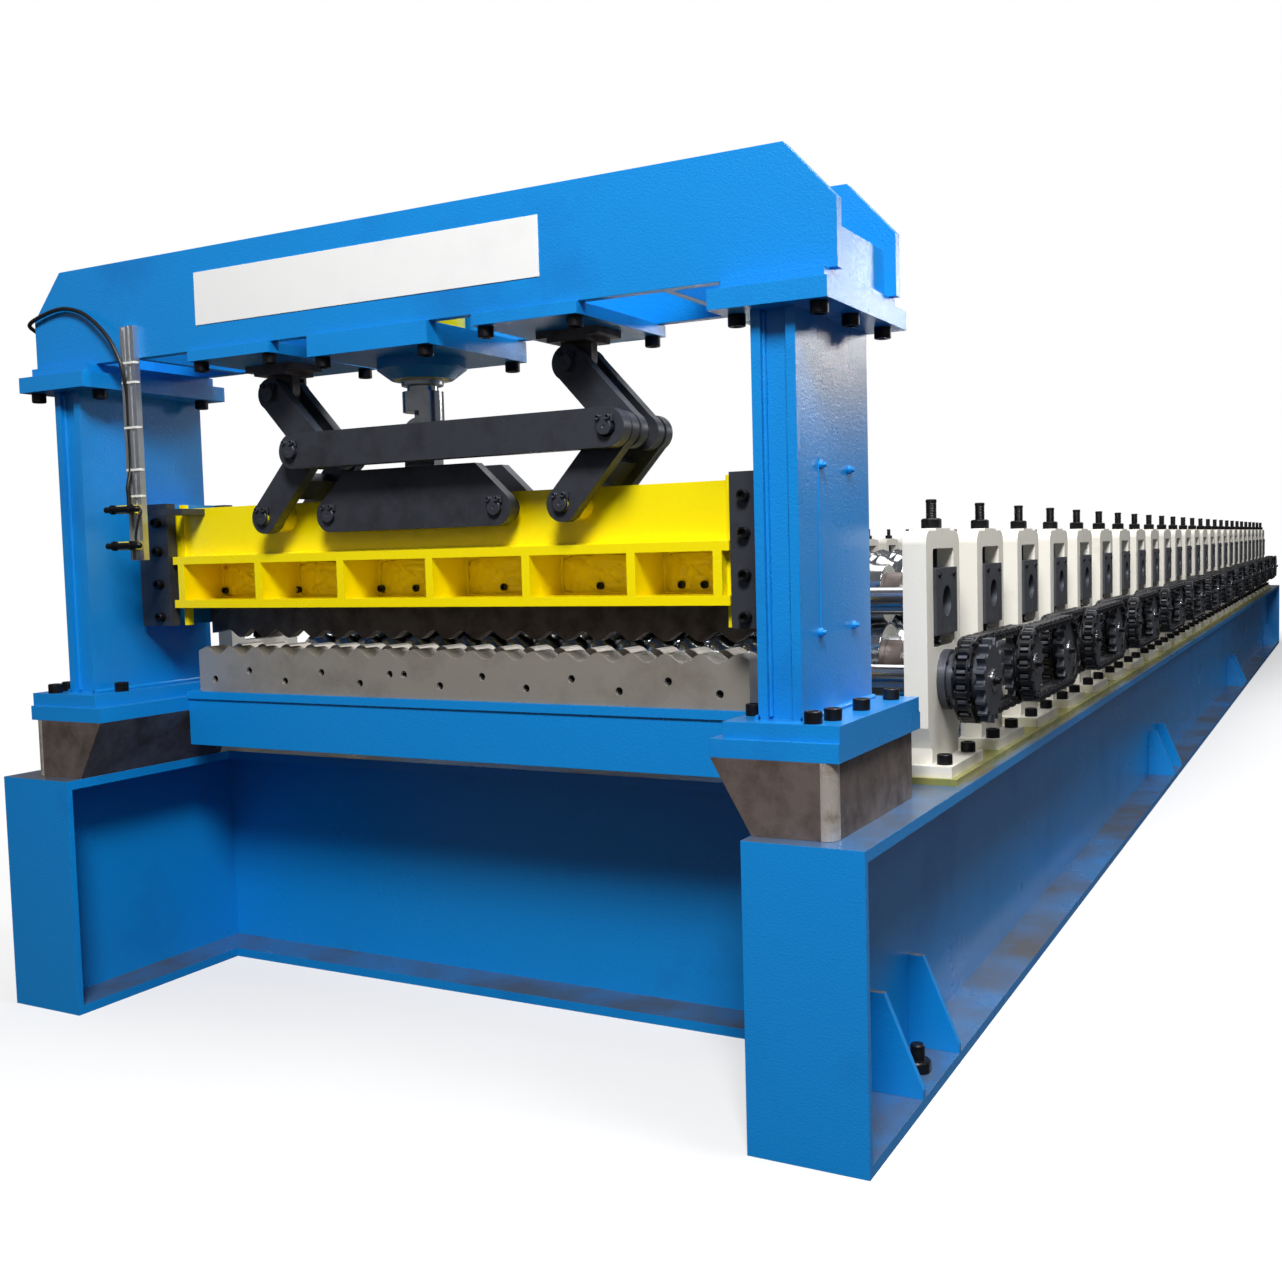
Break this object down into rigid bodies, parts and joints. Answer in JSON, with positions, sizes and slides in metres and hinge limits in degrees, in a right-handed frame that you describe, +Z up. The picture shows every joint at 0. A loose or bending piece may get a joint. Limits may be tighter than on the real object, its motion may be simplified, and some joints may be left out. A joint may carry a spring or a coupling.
{
  "type": "roll forming machine",
  "caption": "Corrugated-sheet roll forming machine: two-rail base, row of roll stands with chain drive, and a hydraulic cut-off press with knee linkage.",
  "frame": {"origin": "on the floor at mid width, under the web of the first cross member", "axes": "+Z up, +Y along the machine from the cut-off press to the sheet entry, +X to the chain-drive side"},
  "size_m": [1.828, 10.1, 1.472],
  "materials": {
    "blue_paint": "orange-peel gloss blue paint",
    "yellow_paint": "gloss yellow paint",
    "raw_steel": "raw flame-cut steel",
    "zinc_yellow": "yellow-green zinc passivation",
    "cream_casting": "painted casting",
    "black_oxide": "blackened steel",
    "ground_steel": "ground and chromed steel",
    "aluminium_rail": "mill finish",
    "cable_black": "black cable sheath"
  },
  "bodies": {
    "frame": {"base_rail_right": "blue_paint", "base_rail_left": "blue_paint", "base_cross_members": "blue_paint", "anchor_brackets": "blue_paint", "shim_strips": "zinc_yellow", "roll_stands_right": "cream_casting", "roll_stands_left": "cream_casting", "upper_bearing_blocks": "black_oxide", "lower_bearing_hubs": "black_oxide", "adjusting_screws": "black_oxide", "block_springs": "black_oxide", "upper_shafts": "ground_steel", "lower_shafts": "ground_steel", "upper_rolls": "ground_steel", "lower_rolls": "ground_steel", "shaft_collars": "raw_steel", "sprockets": "black_oxide", "drive_chains": "black_oxide", "entry_guide": "blue_paint", "press_supports": "raw_steel", "column_right": "blue_paint", "column_left": "blue_paint", "lower_crossbeam": "blue_paint", "lower_dies": "ground_steel", "crosshead_front_plate": "blue_paint", "crosshead_rear_plate": "blue_paint", "crosshead_webs": "blue_paint", "crosshead_mount_plates": "blue_paint", "linkage_brackets": "raw_steel", "press_cylinder": "yellow_paint", "cylinder_flange": "blue_paint", "guide_gibs": "black_oxide", "sensor_rail": "aluminium_rail", "sensor_switches": "yellow_paint", "sensor_cable": "cable_black"},
    "ram": {"ram_beam": "yellow_paint", "upper_blade": "raw_steel", "ram_link_plates": "black_oxide", "piston_rod": "ground_steel", "trigger_bar": "black_oxide"},
    "upper_arm_right": {"upper_arm_right": "black_oxide"},
    "upper_arm_left": {"upper_arm_left": "black_oxide"},
    "lower_arm_right": {"lower_arm_right": "black_oxide"},
    "lower_arm_left": {"lower_arm_left": "black_oxide"},
    "tie_bar": {"tie_bar": "black_oxide"}
  },
  "joints": [
    {"name": "ram_slide", "type": "slide", "parent": "frame", "child": "ram", "axis": [0, 0, -1], "range_m": [0, 0.05]},
    {"name": "upper_arm_right_pivot", "type": "hinge", "parent": "frame", "child": "upper_arm_right", "pos_m": [0.33, -0.28, 1.195], "axis": [0, 1, 0], "range_deg": [0, 16.08]},
    {"name": "lower_arm_right_pivot", "type": "hinge", "parent": "ram", "child": "lower_arm_right", "pos_m": [0.33, -0.28, 0.961], "axis": [0, 1, 0], "range_deg": [-16.08, 0]},
    {"name": "upper_arm_left_pivot", "type": "hinge", "parent": "frame", "child": "upper_arm_left", "pos_m": [-0.33, -0.28, 1.195], "axis": [0, 1, 0], "range_deg": [0, 16.08]},
    {"name": "lower_arm_left_pivot", "type": "hinge", "parent": "ram", "child": "lower_arm_left", "pos_m": [-0.33, -0.28, 0.961], "axis": [0, 1, 0], "range_deg": [-16.08, 0]},
    {"name": "tie_bar_pivot", "type": "hinge", "parent": "upper_arm_left", "child": "tie_bar", "pos_m": [-0.22233, -0.28, 1.078], "axis": [0, 1, 0], "range_deg": [-16.08, 0]}
  ],
  "couplings": [
    {"joint": "upper_arm_right_pivot", "follows": "ram_slide", "rad_per_m": 5.5446},
    {"joint": "lower_arm_right_pivot", "follows": "ram_slide", "rad_per_m": -5.5446},
    {"joint": "upper_arm_left_pivot", "follows": "ram_slide", "rad_per_m": 5.5446},
    {"joint": "lower_arm_left_pivot", "follows": "ram_slide", "rad_per_m": -5.5446},
    {"joint": "tie_bar_pivot", "follows": "ram_slide", "rad_per_m": -5.5446}
  ]
}
